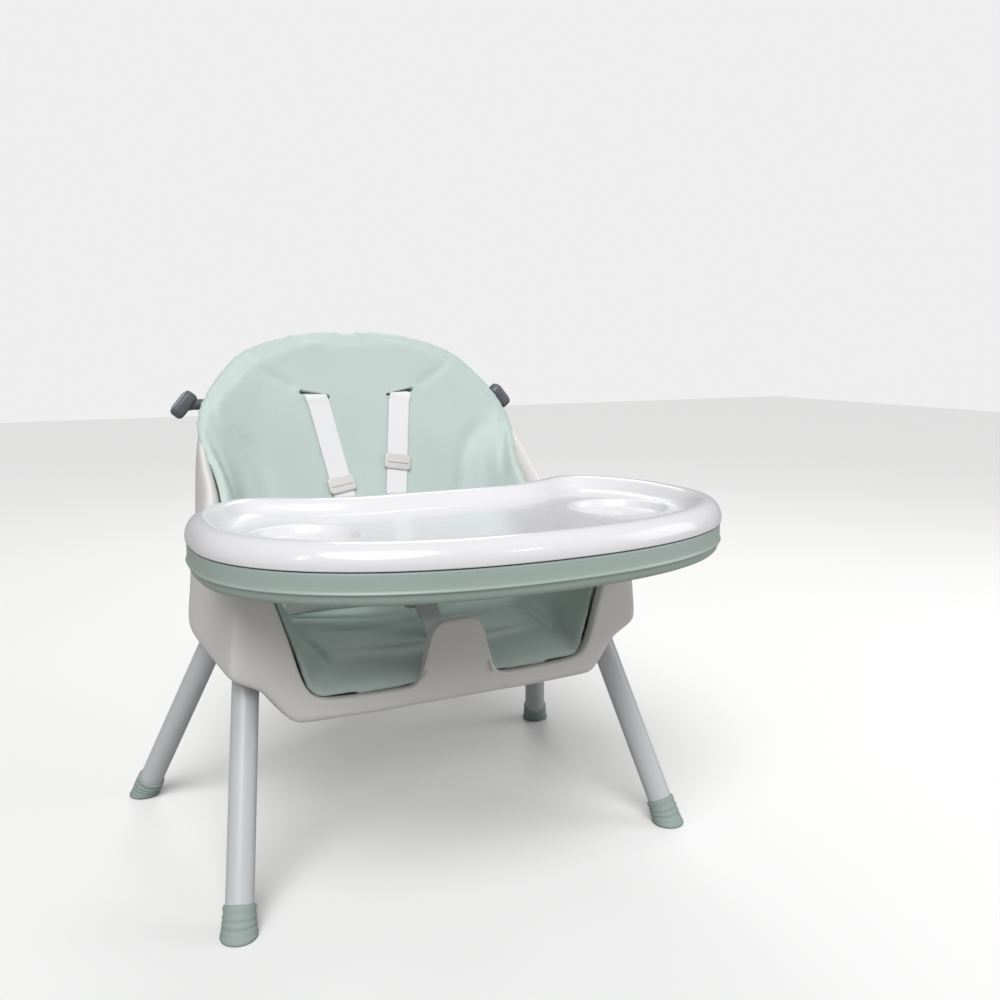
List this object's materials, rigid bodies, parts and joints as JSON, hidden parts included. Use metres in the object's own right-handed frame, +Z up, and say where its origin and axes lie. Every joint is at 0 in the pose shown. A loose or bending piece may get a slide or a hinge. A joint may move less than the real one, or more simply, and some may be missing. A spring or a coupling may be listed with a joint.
{
  "type": "baby high chair",
  "caption": "Low baby high chair: a padded moulded seat on splayed plug-in legs, with a harness, a tray that slides on armrest rails and a lift-out tray insert.",
  "frame": {"origin": "on the floor, under the middle of the whole chair", "axes": "+X to the right as seen from the front, +Y towards the chair's back, +Z up"},
  "size_m": [0.545, 0.5109, 0.5105],
  "materials": {
    "white_shell": "satin moulded polypropylene",
    "mint_padding": "soft coated fabric over foam, fine leather grain",
    "white_gloss": "glossy moulded plastic",
    "mint_plastic": "satin moulded plastic",
    "white_fittings": "smooth moulded plastic",
    "leg_paint": "satin powder coat",
    "foot_mint": "matte soft plastic",
    "webbing": "woven polyester webbing",
    "bright_steel": "zinc plated",
    "grey_fittings": "satin dark grey moulded plastic"
  },
  "bodies": {
    "chair": {"base_shell": "white_shell", "post_cover": "white_shell", "seat_shell": "white_shell", "seat_cushion": "mint_padding", "back_cushion": "mint_padding", "armrest_left": "white_shell", "armrest_right": "white_shell", "storage_peg_left": "grey_fittings", "storage_peg_right": "grey_fittings", "leg_front_left": "leg_paint", "leg_front_right": "leg_paint", "leg_rear_left": "leg_paint", "leg_rear_right": "leg_paint", "leg_socket_front_left": "white_shell", "leg_socket_front_right": "white_shell", "leg_socket_rear_left": "white_shell", "leg_socket_rear_right": "white_shell", "foot_cap_front_left": "foot_mint", "foot_cap_front_right": "foot_mint", "foot_cap_rear_left": "foot_mint", "foot_cap_rear_right": "foot_mint", "shoulder_strap_left": "webbing", "shoulder_strap_right": "webbing", "waist_strap_left": "webbing", "waist_strap_right": "webbing", "crotch_strap": "webbing", "buckle_body": "white_fittings", "buckle_tongue_left": "grey_fittings", "buckle_tongue_right": "grey_fittings", "strap_anchors": "grey_fittings"},
    "tray": {"tray_base": "mint_plastic", "tray_channel_left": "white_fittings", "tray_channel_right": "white_fittings", "latch_cover": "mint_plastic", "tray_screws": "bright_steel", "handle_spring": "bright_steel"},
    "insert": {"tray_insert": "white_gloss"},
    "handle": {"release_handle": "mint_plastic"},
    "rod_left": {"latch_rod_left": "white_fittings"},
    "rod_right": {"latch_rod_right": "white_fittings"},
    "buckle_press": {"buckle_button": "grey_fittings"},
    "adjuster_left": {"shoulder_adjuster_left": "white_fittings"},
    "adjuster_right": {"shoulder_adjuster_right": "white_fittings"},
    "release_front_left": {"leg_button_front_left": "grey_fittings"},
    "release_front_right": {"leg_button_front_right": "grey_fittings"},
    "release_rear_left": {"leg_button_rear_left": "grey_fittings"},
    "release_rear_right": {"leg_button_rear_right": "grey_fittings"}
  },
  "joints": [
    {"name": "tray_slide", "type": "slide", "parent": "chair", "child": "tray", "axis": [0, -1, 0], "range_m": [0, 0.12]},
    {"name": "insert_lift", "type": "slide", "parent": "tray", "child": "insert", "axis": [0, 0, 1], "range_m": [0, 0.06]},
    {"name": "handle_pull", "type": "slide", "parent": "tray", "child": "handle", "axis": [0, -1, 0], "range_m": [0, 0.01], "stiffness_N_per_m": 400, "springref_m": -0.002, "deforming": ["handle_spring"]},
    {"name": "rod_left_slide", "type": "slide", "parent": "tray", "child": "rod_left", "axis": [1, 0, 0], "range_m": [0, 0.006]},
    {"name": "rod_right_slide", "type": "slide", "parent": "tray", "child": "rod_right", "axis": [-1, 0, 0], "range_m": [0, 0.006]},
    {"name": "buckle_push", "type": "slide", "parent": "chair", "child": "buckle_press", "axis": [0, 0.788, -0.6157], "range_m": [0, 0.003], "stiffness_N_per_m": 300, "springref_m": -0.001},
    {"name": "adjuster_left_slide", "type": "slide", "parent": "chair", "child": "adjuster_left", "axis": [-0.1592, 0.2837, 0.9456], "range_m": [0, 0.06]},
    {"name": "adjuster_right_slide", "type": "slide", "parent": "chair", "child": "adjuster_right", "axis": [0.1592, 0.2837, 0.9456], "range_m": [-0.02, 0.05]},
    {"name": "release_front_left_push", "type": "slide", "parent": "chair", "child": "release_front_left", "axis": [-0.9412, -0.2061, 0.2678], "range_m": [0, 0.004], "stiffness_N_per_m": 500, "springref_m": -0.001},
    {"name": "release_front_right_push", "type": "slide", "parent": "chair", "child": "release_front_right", "axis": [0.9412, -0.2061, 0.2678], "range_m": [0, 0.004], "stiffness_N_per_m": 500, "springref_m": -0.001},
    {"name": "release_rear_left_push", "type": "slide", "parent": "chair", "child": "release_rear_left", "axis": [-0.9133, 0.163, 0.3732], "range_m": [0, 0.004], "stiffness_N_per_m": 500, "springref_m": -0.001},
    {"name": "release_rear_right_push", "type": "slide", "parent": "chair", "child": "release_rear_right", "axis": [0.9133, 0.163, 0.3732], "range_m": [0, 0.004], "stiffness_N_per_m": 500, "springref_m": -0.001}
  ],
  "couplings": [
    {"joint": "rod_left_slide", "follows": "handle_pull", "ratio": 0.6},
    {"joint": "rod_right_slide", "follows": "handle_pull", "ratio": 0.6}
  ]
}
